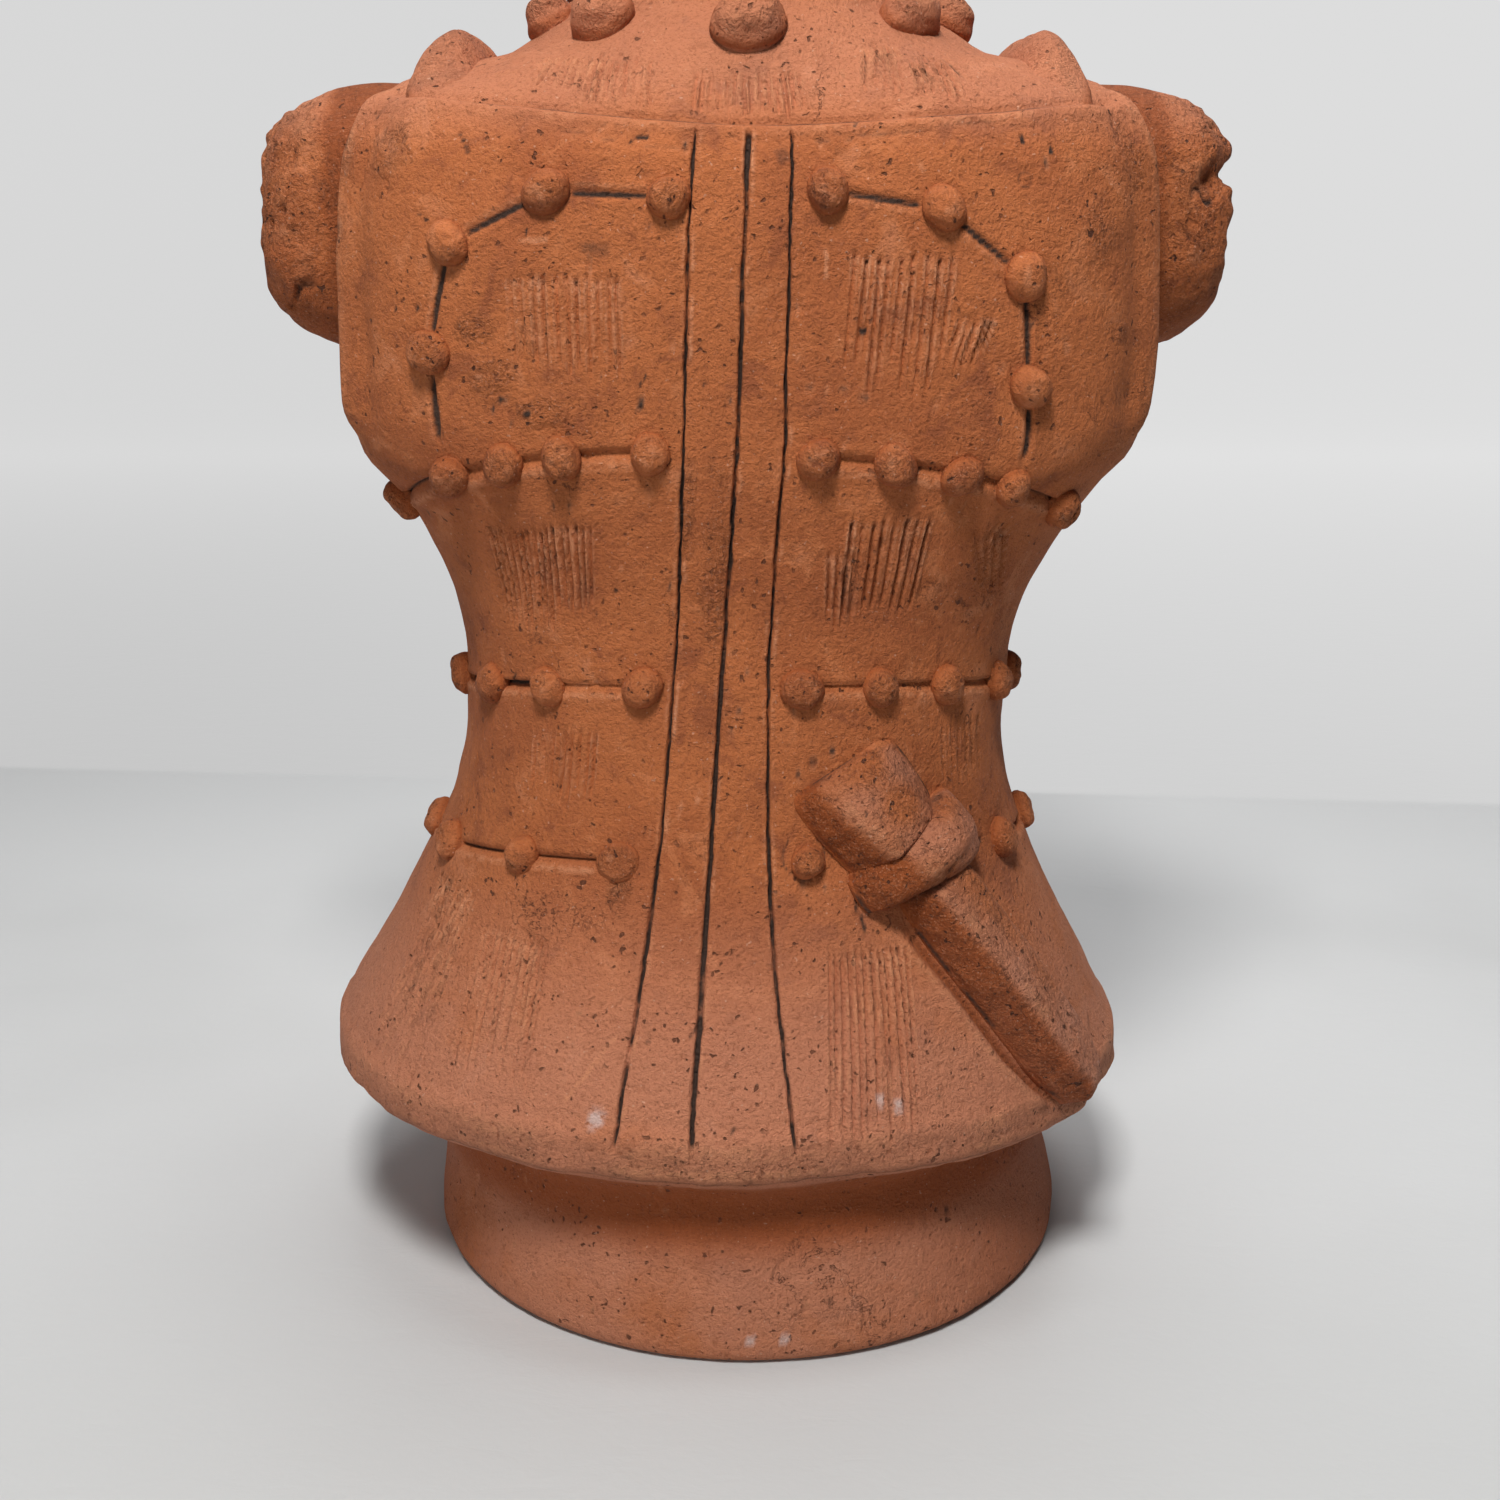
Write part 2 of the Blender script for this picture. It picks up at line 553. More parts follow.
class Wall:
    """The soft outer wall as a grid, with the relief and the marks pressed into it so far."""

    def __init__(self, azimuth, height):
        self.azimuth, self.height = azimuth, height
        self.points = wall_points(TORSO, azimuth, height)
        turn = np.roll(azimuth, -1, axis=1) - np.roll(azimuth, 1, axis=1)
        step = np.roll(self.points, -1, axis=1) - np.roll(self.points, 1, axis=1)
        self.per_degree = np.linalg.norm(step, axis=-1) / np.where(turn < 0, turn + 360, turn)
        self.relief = np.zeros_like(azimuth)
        self.marks = {name: np.zeros_like(azimuth) for name in WALL_MARKS}

    def press(self, relief=0.0, **marks):
        """Adds relief in mm, and raises each mark to at least the value given."""
        self.relief += relief
        for name, value in marks.items():
            self.marks[name] = np.maximum(self.marks[name], value)

    def lumps(self, size, seed, upright=1.0):
        """Lumps at each point, drawn out upwards where `upright` is under 1."""
        return lumps(self.points * np.array([1, 1, upright]), size, seed)

    def patches(self, size, seed, low, high):
        return smoothstep(low, high, self.lumps(size, seed))

    def beside(self, azimuth):
        """Level distance in mm from an azimuth."""
        return (self.azimuth - azimuth) * self.per_degree

    def away(self, azimuth, height):
        """Distance in mm from a place."""
        return np.hypot(self.beside(azimuth), self.height - height)

    def line(self, start, end):
        """Share along a line between two (azimuth, height) places, mm across it, and its length."""
        run, climb = (end[0] - start[0]) * self.per_degree, end[1] - start[1]
        over, up = self.beside(start[0]), self.height - start[1]
        length = np.hypot(run, climb)
        return (over * run + up * climb) / length**2, (over * climb - up * run) / length, length


def within(share, margin):
    """1 inside 0..1 and falling to 0 over the margin at both ends."""
    return span(share, -margin, margin, 1 - margin, 1 + margin)


def press_front_cuts(wall):
    """Each long cut is a narrow steep slit with soot in it and a crumbly burr along its edges."""
    for index, cut in enumerate(CUTS):
        across = wall.beside(cut_azimuth(cut, wall.height))
        across += 0.25 * wall.lumps(14, 50 + index) + 0.30 * wall.lumps(3, 55 + index)
        inside = span(wall.height, CUT_BOTTOM - 1, CUT_BOTTOM + 4, CUT_TOP, CUT_TOP + 3)
        half = CUT_HALF_WIDTH[index] * (1 + 0.45 * wall.lumps(9, 40 + index))
        half = half * (1.5 - 0.5 * smoothstep(120, 220, wall.height))
        slit = 1 - smoothstep(half * 0.55, half * 1.3, np.abs(across))
        slit = slit * (1 - (index == 0) * bell(wall.height - CUT_BRIDGE, 2.0))
        burr = bell(across - 1.5, 0.55) + 0.5 * bell(across + 1.4, 0.5)
        burr = burr * wall.patches(6, 60 + index, -0.1, 0.6)
        halo = 0.26 * bell(across, 1.7) * wall.patches(7, 65 + index, -0.5, 0.5)
        crumbly = wall.lumps(2.6, 64 + index) + wall.lumps(7, 68 + index, 0.4)
        filled = 0.45 + 0.55 * smoothstep(-0.9, 0.4, crumbly)
        relief = 0.40 * burr - CUT_DEPTH * slit - 0.30 * bell(across, 3)
        wall.press(inside * relief, soot=inside * np.maximum(slit * filled, halo), worn=inside * burr)


# links between pellets of each row: azimuth from and to, how deep and black the slit is
ROW_LINKS = {
    CHEST_ROW: [(-71, -54, 0.9), (-50, -45, 0.5), (-41, -36, 0.3), (-32, -21, 0.4),
                (16, 26, 0.3), (30, 37, 0.3), (41, 46, 0.6), (50, 60, 0.8)],
    WAIST_ROW: [(-78, -62, 1.0), (-57, -46, 0.95), (-40, -24, 0.25), (18, 30, 0.3),
                (35, 46, 0.4), (52, 66, 0.5)],
    HIP_ROW: [(-84, -70, 0.9), (-65, -48, 0.85), (-42, -28, 0.75), (67, 84, 0.9)],
}
# armhole lacing: azimuth and height of each pellet from the middle out; the last point
# of each line is where it meets the chest row
ARMHOLES = [
    [(-15, 360), (-35, 361.5), (-48.5, 347.5), (-52, 316.5), (-52, 284)],
    [(15, 362), (34, 357), (45.5, 338), (47, 306.5), (48, 280)],
]
LINK_MARGIN = 0.19  # share of an armhole link hidden under the pellet at each end


def press_links(wall):
    """A row link is a shallow channel with a dark upper edge, a slit and a bright lower lip."""
    every_link = ((row, *link) for row, links in ROW_LINKS.items() for link in links)
    for row, start, end, black in every_link:
        up = wall.height - row[0] - row_offset(row, wall.azimuth)
        inside = within((wall.azimuth - start) / (end - start), 0.06)
        channel = (0.8 + 0.4 * black) * span(up, -2.4, -0.5, 0.9, 1.6)
        slit = span(up, -0.2 - 0.7 * black, 0.35, 0.8, 1.3)
        lips = 0.6 * bell(up + 3.2, 1.2) + 0.3 * bell(up - 2.2, 0.9)
        wall.press(inside * (lips - channel - (0.5 + 2.0 * black**2) * slit),
                   soot=inside * slit * (0.12 + 0.84 * black**3),
                   worn=inside * bell(up + 3.0, 0.9) * 0.8)


def press_armholes(wall):
    """Armhole links are straight dark slits from pellet to pellet, deepest in the middle."""
    for start, end in (link for line in ARMHOLES for link in zip(line[:-1], line[1:])):
        share, across, _ = wall.line(start, end)
        share = (share - LINK_MARGIN) / (1 - 2 * LINK_MARGIN)
        inside = within(share, 0.05)
        slit = bell(across, 0.95)
        wall.press(inside * (0.35 * bell(np.abs(across) - 2.2, 0.8) - 1.3 * slit),
                   soot=inside * slit * (0.75 + 0.25 * bell(share - 0.5, 0.35)),
                   worn=inside * 0.5 * bell(across - 1.9, 0.6))


# combed patches: azimuth of the first and last stroke, number of strokes, height of the
# top and bottom, drift in degrees from top to bottom, depth in mm
COMBED = [
    (-40.1, -24, 11, 338, 309, 0.2, 0.6), (19.9, 35.5, 9, 344, 306, -1.7, 0.65),
    (36.6, 41.5, 5, 326, 312, -2.1, 0.6), (-49.8, -39.1, 10, 263, 231, -2.6, 0.55),
    (-37.6, -30.8, 6, 265, 236, -1.6, 0.6), (22.1, 36, 8, 266.5, 234, 0.8, 0.6),
    (18.5, 23.2, 4, 257, 233, 1.5, 0.5), (44.9, 50.5, 4, 263.5, 238, 8, 0.55),
    (-45.6, -41, 3, 198, 176, 0, 0.6), (-38, -30.8, 5, 198.5, 177, 0, 0.6),
    (48.5, 60.3, 6, 197.5, 176, 1, 0.45), (-67.2, -54.8, 9, 142, 82, 3.2, 0.65),
    (-48.5, -34.6, 12, 134, 92, 4, 0.6), (19.1, 34, 12, 132, 78, -4, 0.6),
    (-46.5, -37, 6, 397, 387, 3.5, 0.5), (-35, -23, 8, 397, 384, 3.5, 0.6),
    (-11.9, 11.4, 14, 393.5, 382.5, 0.5, 0.4), (28.2, 35, 6, 401, 387, -4.5, 0.6),
    (36.5, 42.5, 6, 395, 384.5, -3, 0.65),
]


def press_combs(wall):
    """Strokes of a toothed tool: a dent where each tooth went in, then a groove with raised edges."""
    chance = np.random.default_rng(11)
    patchy = wall.patches(9, 90, -0.7, 0.3)
    for first, last, count, top, bottom, drift, depth in COMBED:
        for azimuth in np.linspace(first, last, count):
            high = top + chance.uniform(-1, 0.6)
            low = bottom + chance.uniform(-1, 1) * 0.16 * (top - bottom)
            azimuth = azimuth + chance.uniform(-0.25, 0.25)
            weight = 1.4 * depth * chance.uniform(0.6, 1.15)
            share, across, length = wall.line((azimuth, high), (azimuth + drift, low))
            inside = span(share, -0.02, 0.03, 0.72, 1.0)
            groove = 1 - smoothstep(0.30, 0.75, np.abs(across))
            ridge = bell(np.abs(across) - 1.0, 0.36)
            dent = bell(np.hypot(across, (share - 0.015) * length), 0.9)
            torn = inside * np.maximum(ridge, 0.8 * bell(share - 0.06, 0.07) * bell(across, 1.2))
            wall.press(weight * (inside * (0.8 * ridge - 1.5 * groove) - 1.3 * dent),
                       soot=(0.44 * inside * groove * patchy + 0.25 * dent) * weight,
                       worn=1.3 * torn * weight * (1.3 - share) * patchy)


def press_edges(wall):
    """The armour ends in a step below the collar, and its sides stand proud before the arms."""
    up = wall.height - COLLAR_EDGE - collar_edge_offset(wall.azimuth)
    side = np.abs(wall.azimuth)
    front = 1 - smoothstep(62, 72, side)
    ragged = wall.lumps(11, 71)
    step = 1.2 * bell(up, 0.7) + 1.3 * span(up, -0.3, 0.5, 6, 15) - 0.6 * bell(up + 1.8, 1.3)
    wall.press(-front * step,
               soot=front * bell(up, 0.6) * (0.30 + 0.25 * smoothstep(-0.5, 0.6, ragged)),
               worn=front * 0.6 * bell(up + 1.8, 0.9) * smoothstep(0, 0.7, ragged))

    beyond = (side - 70) * wall.per_degree
    upright = span(wall.height, 284, 300, 380, 388)
    crumbled = upright * wall.patches(8, 72, -0.1, 0.5) * smoothstep(325, 345, wall.height)
    lip = 3.3 * bell(beyond, 3.4) + 1.65 * bell(beyond + 5, 4)
    wall.press(upright * (lip - 0.9 * bell(beyond + 13, 5) - 3.2 * bell(beyond - 8.5, 3.0)),
               soot=upright * bell(beyond - 8, 3.0) * 0.60)
    wall.press(-crumbled * bell(beyond + 1, 3) * (0.7 + 0.5 * wall.lumps(3.5, 73)),
               worn=(0.35 * upright + 0.65 * crumbled) * bell(beyond + 1, 2.6),
               broken=crumbled * bell(beyond + 1, 3.5))


# where the lower side of the dagger's blade meets the skirt: height and azimuth
BLADE_FOOT = np.array([[72.8, 57.3], [94.5, 48.9], [118.5, 42], [142, 34.5]])
BLADE_SLANT = 0.84  # share of a level distance that is square to the blade


def press_blade_bed(wall):
    """Pressing the blade on left a channel along its lower side and a raised rounded lip."""
    across = wall.beside(np.interp(wall.height, *BLADE_FOOT.T)) * BLADE_SLANT
    inside = span(wall.height, 74, 80, 128, 142)
    wavy = inside * (1 + 0.35 * wall.lumps(12, 74))
    wall.press(wavy * (1.7 * bell(across + 5.0, 2.2) - 2.0 * bell(across + 1.4, 1.7)),
               soot=inside * 0.40 * bell(across + 0.9, 0.9),
               deep=inside * 0.9 * bell(across + 1.2, 2.2),
               worn=0.5 * wavy * bell(across + 5.2, 1.8))


# scratches and cracks: azimuth and height of both ends, half width, depth, soot, worn
SCRATCHES = [
    (-22.6, 374.9, -19.2, 376, 0.5, 0.9, 0.8, 0), (-38.6, 347.8, -34.6, 347.9, 0.6, 0.3, 0, 1),
    (-30.2, 346.2, -24.6, 345.8, 2.4, 0.2, 0.4, 0), (-49, 375.6, -46.6, 370.6, 0.7, 0.8, 0.55, 0),
    (-44.4, 298.4, -42.3, 303.6, 0.6, 1, 0.75, 0.3), (-42.3, 303.6, -39.2, 303, 0.5, 0.7, 0.45, 0.5),
    (-41.6, 296.6, -38.2, 299.2, 0.6, 1, 0.75, 0.3), (-20.9, 308.2, -19.2, 310, 0.6, 0.8, 0.75, 0),
    (-21, 300.2, -19.6, 302.2, 0.6, 0.8, 0.7, 0), (-52.2, 311, -51.2, 291, 0.5, 0.7, 0.5, 0),
    (14.4, 345.6, 15, 337.8, 0.5, 0.1, 0, 1), (10.6, 306.4, 15.8, 308.6, 0.5, 0.5, 0.45, 0.4),
    (15.8, 308.6, 22.8, 303.8, 0.5, 0.5, 0.45, 0.4), (6, 374, 7.6, 368.8, 2.2, 0.1, 0.4, 0),
    (16, 372.6, 19.4, 371.4, 2, 0.1, 0.3, 0), (-17.6, 170, -7, 181.5, 0.4, 0.2, 0, 0.9),
    (-18.1, 110.6, -21.6, 100, 0.5, 0.3, 0, 0.9), (-21.6, 100, -25, 90.6, 0.5, 0.3, 0, 0.9),
    (56, 158.9, 58.4, 157, 0.8, 1.4, 0.95, 0), (12.4, 185.6, 16.9, 190.8, 0.6, 0.8, 0.6, 0.5),
    (16.9, 190.8, 22.6, 195.6, 0.6, 0.8, 0.6, 0.5), (15, 179.6, 20.8, 188.4, 1.4, 0.4, 0.4, 0),
    (25.4, 147.6, 27, 138.4, 0.7, 0.8, 0.65, 0), (19, 173, 24.5, 163, 0.8, 0.8, 0.8, 0),
    (-34.2, 376.7, -20.9, 373.8, 0.4, 0.5, 0.38, 0.2), (-20.9, 373.8, -9.8, 372.9, 0.4, 0.4, 0.3, 0.2),
    (13, 375.2, 29, 376.4, 0.4, 0.5, 0.38, 0.2), (29, 376.4, 46, 379, 0.4, 0.5, 0.34, 0.2),
]
# round scars: azimuth, height, radius, depth, soot; a thin ring where the depth is negative
SCARS = [
    (-37.6, 350.4, 1.0, 0.9, 0.85), (-38.8, 376.8, 2.8, -0.5, 0.30), (-35.4, 374.0, 2.0, -0.5, 0.30),
    (-53.4, 329.2, 0.9, 0.9, 0.85), (-56.9, 328.1, 0.8, 0.8, 0.80), (-9.2, 212.2, 3.4, -0.5, 0.30),
    (21.4, 322.8, 1.0, 1.2, 0.95), (45.8, 364.7, 1.9, -0.6, 0.45), (50.1, 371.6, 0.9, 0.8, 0.80),
    (46.4, 374.0, 0.8, 0.8, 0.75), (-41.6, 300.0, 3.8, 0.7, 0.10), (-59.3, 373.0, 4.5, 0.6, 0.20),
    (30.5, 216.5, 1.0, 0.9, 0.80), (-31.5, 236.5, 0.9, 0.8, 0.75), (-27.0, 245.5, 0.8, 0.8, 0.70),
    (15.6, 162.4, 6.8, -0.3, 0.55),
]
# splashes of lime: azimuth, height, radius
LIME_SPOTS = [
    (-19.4, 87, 3.2), (27, 88.7, 2.6), (58.9, 77, 3), (24.5, 91, 1.6), (0.5, 8, 1.8), (6, 9.5, 1.6),
]
NICKS = 240
# rough patches, where the skin came off: azimuth, height, half width, half height
SCUFFS = [
    (-45.1, 324.9, 7, 6), (-43.1, 309.9, 8, 6), (-59.3, 373.0, 9, 6), (-36.0, 300.0, 9, 4),
    (56.0, 352.0, 8, 9), (64.0, 372.0, 6, 9), (-6.0, 255.0, 4, 30), (-22.6, 152.5, 4, 5),
    (-12.0, 270.0, 3, 14), (61.5, 320.7, 4, 3),
]


def press_scars(wall):
    """Single scratches, cracks, pits, rings and patches that wear and the spade left."""
    wavy = 0.5 * wall.lumps(3.5, 75)
    for start, height, end, top, half, depth, soot, worn in SCRATCHES:
        share, across, length = wall.line((start, height), (end, top))
        line = 1 - smoothstep(half * 0.4, half * 1.6, np.abs(across + wavy))
        line = line * within(share, np.minimum(0.5, half / length))
        wall.press(-depth * line, soot=soot * line, worn=worn * line)
    wavy = 0.3 * wall.lumps(3.0, 76)
    for azimuth, height, radius, depth, soot in SCARS:
        away = wall.away(azimuth, height) + wavy
        disc = 1 - smoothstep(0.6 * radius, 1.2 * radius, away)
        spot = bell(away - radius, 0.55) if depth < 0 else disc
        wall.press(-abs(depth) * spot, soot=soot * spot)
    wavy = 0.5 * wall.lumps(3, 79)
    for azimuth, height, radius in LIME_SPOTS:
        wall.press(lime=1 - smoothstep(0.5, 1.2, wall.away(azimuth, height) / radius + wavy))
    wavy = 0.5 * wall.lumps(6, 77)
    rough = 0.35 * wall.lumps(3.2, 78) - 0.25
    for azimuth, height, half_width, half_height in SCUFFS:
        away = np.hypot(wall.beside(azimuth) / half_width, (wall.height - height) / half_height)
        patch = 1 - smoothstep(0.5, 1.2, away + wavy)
        wall.press(patch * rough, broken=0.9 * patch)


def press_nicks(wall):
    """Small nicks and pinholes everywhere in front, left by grit, straw and handling."""
    chance = np.random.default_rng(21)
    wavy = 0.6 * wall.lumps(3, 80)
    for _ in range(NICKS):
        azimuth, height = chance.uniform(-76, 76), chance.uniform(8, 398)
        turn, length = chance.uniform(0, np.pi), chance.uniform(0.6, 4.5) ** 1.1
        end = (azimuth + length * np.cos(turn) / 2.1, height + length * np.sin(turn))
        share, across, _ = wall.line((azimuth, height), end)
        line = within(share, 0.3) * bell(across + wavy, 0.7)
        depth, soot = chance.uniform(0.4, 1.1), chance.choice([0.0, 0.35, 0.6])
        wall.press(-depth * line, soot=soot * line, worn=chance.choice([0.0, 0.7]) * line)


def press_unevenness(wall):
    """Hand smoothing leaves long shallow waves, thumb-sized ones and small ones."""
    for depth, size, seed in ((0.80, 58, 1), (0.60, 23, 2), (0.24, 9, 3), (0.10, 4, 14)):
        wall.press(depth * wall.lumps(size, seed))
    wall.press(0.14 * wall.lumps(5.5, 9, 0.3) * wall.patches(30, 10, -0.2, 0.6))
    wall.press(0.13 * wall.lumps(2.1, 4, 0.07) * span(wall.azimuth, -15, -13, 9, 11))
    wall.press(0.45 * bell(wall.height - 36 - 2 * wall.lumps(60, 5), 3.5))
    wall.press(bell(wall.height - 70, 5) * (0.9 * wall.lumps(16, 6) + 0.45 * wall.lumps(4.5, 7)))
    rubbed = wall.patches(18, 8, -0.3, 0.6)
    wall.press(-0.6 * bell(wall.height - 85 - wall.lumps(40, 12), 1.8),
               worn=(bell(wall.height - 71.5, 1.8) + 0.8 * bell(wall.height - 79, 3)) * rubbed,
               broken=bell(wall.height - 74, 6) * (0.4 + 0.6 * rubbed),
               soot=0.45 * bell(wall.height - 68.5 - 0.8 * wall.lumps(7, 11), 0.8))
    turned_away = 0.5 * smoothstep(30, 75, np.abs(wall.azimuth))
    far_side = 0.55 * span(wall.azimuth, 18, 62, 150, 170)
    under_skirt = smoothstep(30, 46, wall.height)
    for deep in (turned_away, far_side, under_skirt):
        wall.press(deep=deep * (1 - smoothstep(60, 67, wall.height)))


def body_wall():
    """Outer wall upward, rim of the neck, inner wall downward and foot ring, joined into a tube."""
    wall = Wall(*body_grid())
    for press in (press_unevenness, press_front_cuts, press_links, press_armholes, press_combs,
                  press_edges, press_blade_bed, press_scars, press_nicks):
        press(wall)
    outer = swollen(wall.points, wall.relief * smoothstep(0, 5, wall.height))
    outer[..., 2] = np.maximum(outer[..., 2], 0)
    inner_azimuth, inner_height = np.meshgrid(wall.azimuth[0], np.linspace(BODY_TOP, 0, INNER_ROWS))
    inner = wall_points(HOLLOW, inner_azimuth, inner_height)
    marks = {name: np.concatenate([values, 0 * inner_height]) for name, values in wall.marks.items()}
    return np.concatenate([outer, inner])[None], marks


clay_object("body_wall", *body_wall(), joined=True)


# ---------------------------------------------------------------- arm stubs
# Both arms are broken off just outside the shoulder. Each stub is a thick lump
# of clay luted to the wall, torn and pitted, with a shallow hole at its core.

# distance from the middle, half depth, half height
ARM_STATIONS = np.array([
    [90, 36, 41], [128, 38, 41.5], [141, 37, 38], [149, 34, 33], [154.5, 27, 26],
    [155.5, 16, 15], [149, 12.5, 11.5], [141, 8, 8],
])
ARM_CENTRE = (-1.5, 8.0, 355.5)
ARM_DROOP = 2.0
ARM_SQUARENESS = 2.5
ARM_RINGS, ARM_COLUMNS = 150, 180
ARM_BITE = 368.0  # height of the notch in the end of the left arm


def arm_stub(side):
    """Rounded sections threaded on a drooping axis, roughened more and more towards the break."""
    station = np.linspace(0, len(ARM_STATIONS) - 1, ARM_RINGS)
    table = np.column_stack([np.arange(len(ARM_STATIONS)), ARM_STATIONS])
    distance, half_depth, half_height = read_table(table, station).T[:, :, None]
    turn = np.linspace(0, 2 * np.pi, ARM_COLUMNS, endpoint=False)[None, :]
    radius = section_radius(turn, half_height, half_depth, ARM_SQUARENESS)
    x = ARM_CENTRE[0] + side * distance + 0 * turn
    y = ARM_CENTRE[1] + side * radius * np.cos(turn)
    z = ARM_CENTRE[2] - ARM_DROOP * smoothstep(90, 155, distance) + radius * np.sin(turn)
    points = np.stack([x, y, z], -1)
    torn = smoothstep(0.7, 2.6, station)[:, None] * np.ones_like(turn)
    rough = torn * (0.35 + 0.65 * smoothstep(-0.75, 0.2, np.sin(turn)))
    seed = 300 + 20 * side
    relief = 0.9 * lumps(points, 24, seed) + 0.6 * lumps(points, 10, seed + 1)
    relief += rough * (1.5 * lumps(points, 8.5, seed + 2) + 0.8 * lumps(points, 3.4, seed + 3))
    cracks = torn * drying_cracks(points, 17, seed + 4, 0.90, 0.985, 30, -0.2)
    pits = rough * patches(points, 4.2, seed + 7, 0.55, 0.85)
    relief -= 2.0 * cracks + 1.6 * pits
    bite = z - ARM_BITE + 2.5 * lumps(points, 14, seed + 9)
    relief -= (side > 0) * 4.5 * bell(bite, 4.0) * smoothstep(136, 150, distance)
    crease = 1 - smoothstep(128, 135, distance + 2 * lumps(points, 12, seed + 10))
    underside = 1 - smoothstep(-0.8, 0.1, np.sin(turn))
    deep = np.maximum(0.55 * underside, 0.85 * crease)
    marks = {
        "soot": 0.75 * cracks + 0.45 * pits + 0.3 * crease,
        "worn": 0.5 * rough * patches(points, 7, seed + 8, 0.2, 0.8),
        "broken": 0.35 + 0.65 * rough,
        "deep": np.maximum(deep, 0.25 * (1 + side) * lumps(points, 16, seed + 11)),
    }
    return swollen(points, relief), marks


def both_sides(make):
    """The same shape made for side -1 and side 1, as a stack of two grids with their marks."""
    (left, marks), (right, right_marks) = make(-1), make(1)
    return np.stack([left, right]), {name: np.stack([marks[name], right_marks[name]]) for name in marks}


clay_object("arm_stubs", *both_sides(arm_stub))


# ---------------------------------------------------------------- shoulder straps
# A thick strip of clay runs over each shoulder from the breast to the back, as
# the straps that carry the armour. It is pressed down and smoothed in at its ends.

STRAP_X = 90.5
STRAP_HALF_WIDTH = 12.0
STRAP_HEIGHT = 15.0
STRAP_REACH = 60.0
STRAP_TOP = 396.0
STRAP_DROP = 17.0
STRAP_TAPER = 0.75  # share of its thickness lost at the ends
STRAP_UNDER = 8.0
STRAP_SQUARENESS = 1.6  # between a rhomb (1) and an ellipse (2)
STRAP_RINGS, STRAP_COLUMNS = 90, 60


def shoulder_strap(side):
    """A rounded bar carried over the shoulder; it falls and thins as the fourth power of y."""
    share = np.linspace(-1, 1, STRAP_RINGS)[:, None]
    turn = np.linspace(0, 2 * np.pi, STRAP_COLUMNS, endpoint=False)[None, :]
    cosine, sine = np.cos(turn), np.sin(turn)
    across = STRAP_HALF_WIDTH * np.sign(cosine) * np.abs(cosine) ** (2 / STRAP_SQUARENESS)
    up = np.where(sine > 0, STRAP_HEIGHT, -STRAP_UNDER) * np.abs(sine) ** (2 / STRAP_SQUARENESS)
    stand = up * np.where(up > 0, 1 - STRAP_TAPER * share**4, 1)
    x = side * STRAP_X - across * (1 - 0.15 * share**4)
    y = STRAP_REACH * share + 0 * turn
    points = np.stack([x, y, STRAP_TOP - STRAP_DROP * share**4 + stand], -1)
    seed = 400 + 20 * side
    relief = 1.2 * lumps(points, 19, seed) + 0.5 * lumps(points, 8, seed + 1)
    relief += 0.2 * lumps(points, 3.5, seed + 2)
    cracks = drying_cracks(points, 14, seed + 3, 0.93, 0.99, 22, 0.0)
    top = smoothstep(0.5, 1.0, up / STRAP_HEIGHT) + 0 * share
    crease = bell(stand - 2.0, 2.0) * patches(points, 12, seed + 8, -0.6, 0.4)
    marks = {
        "soot": 0.6 * cracks + 0.35 * crease,
        "worn": 0.5 * top * patches(points, 9, seed + 7, 0.1, 0.8),
        "broken": 0.35 * top,
        "deep": 0.8 * crease,
    }
    return swollen(points, relief - 0.9 * cracks), marks


clay_object("shoulder_straps", *both_sides(shoulder_strap))


# ---------------------------------------------------------------- lacing pellets
# Small balls of clay pressed on the wall stand for the knots of the lacing. The
# ones in front were rolled rough and cracked in drying; those at the sides are flatter.

ROW_PELLETS = {  # azimuths
    CHEST_ROW: [-73, -52, -43, -34, -19, 14, 28, 39, 48, 62, 120, 150, 210, 240],
    WAIST_ROW: [-80, -60, -43, -21, 15, 32.5, 49, 68, 83, 115, 148, 212, 245],
    HIP_ROW: [-87, -68, -45, -23.5, 16.5, 65, 88, 120, 155, 205, 240],
}
PELLET_RADIUS = 6.0
PELLET_OUT = 5.4
PELLET_RINGS, PELLET_COLUMNS = 18, 32
ROUND_FULLNESS, FLAT_FULLNESS = 2.5, 3.6
FLAT_FROM = 64  # azimuth from which they are flat
SMEARED_PELLET, SMALL_PELLET = -23.5, 16.5  # azimuths of two odd ones in the hip row
SMEARED_OUT, SMALL_RADIUS = 2.2, 4.9
SUNK = 2.5  # how far a foot goes into the wall
BALL_RISE = (-0.28, 1)  # rings of a ball from its foot, below 0, to its crown


def seat(surface, azimuth, height):
    """Points on a surface with the directions outward, up and sideways there."""
    step = 0.5
    at = surface(azimuth, height)
    up = unit(surface(azimuth, height + step) - surface(azimuth, height - step))
    ahead = surface(azimuth + step, height) - surface(azimuth - step, height)
    out = unit(np.cross(ahead, up))
    return at, out, up, np.cross(up, out)


def torso_surface(azimuth, height):
    return wall_points(TORSO, azimuth, height)


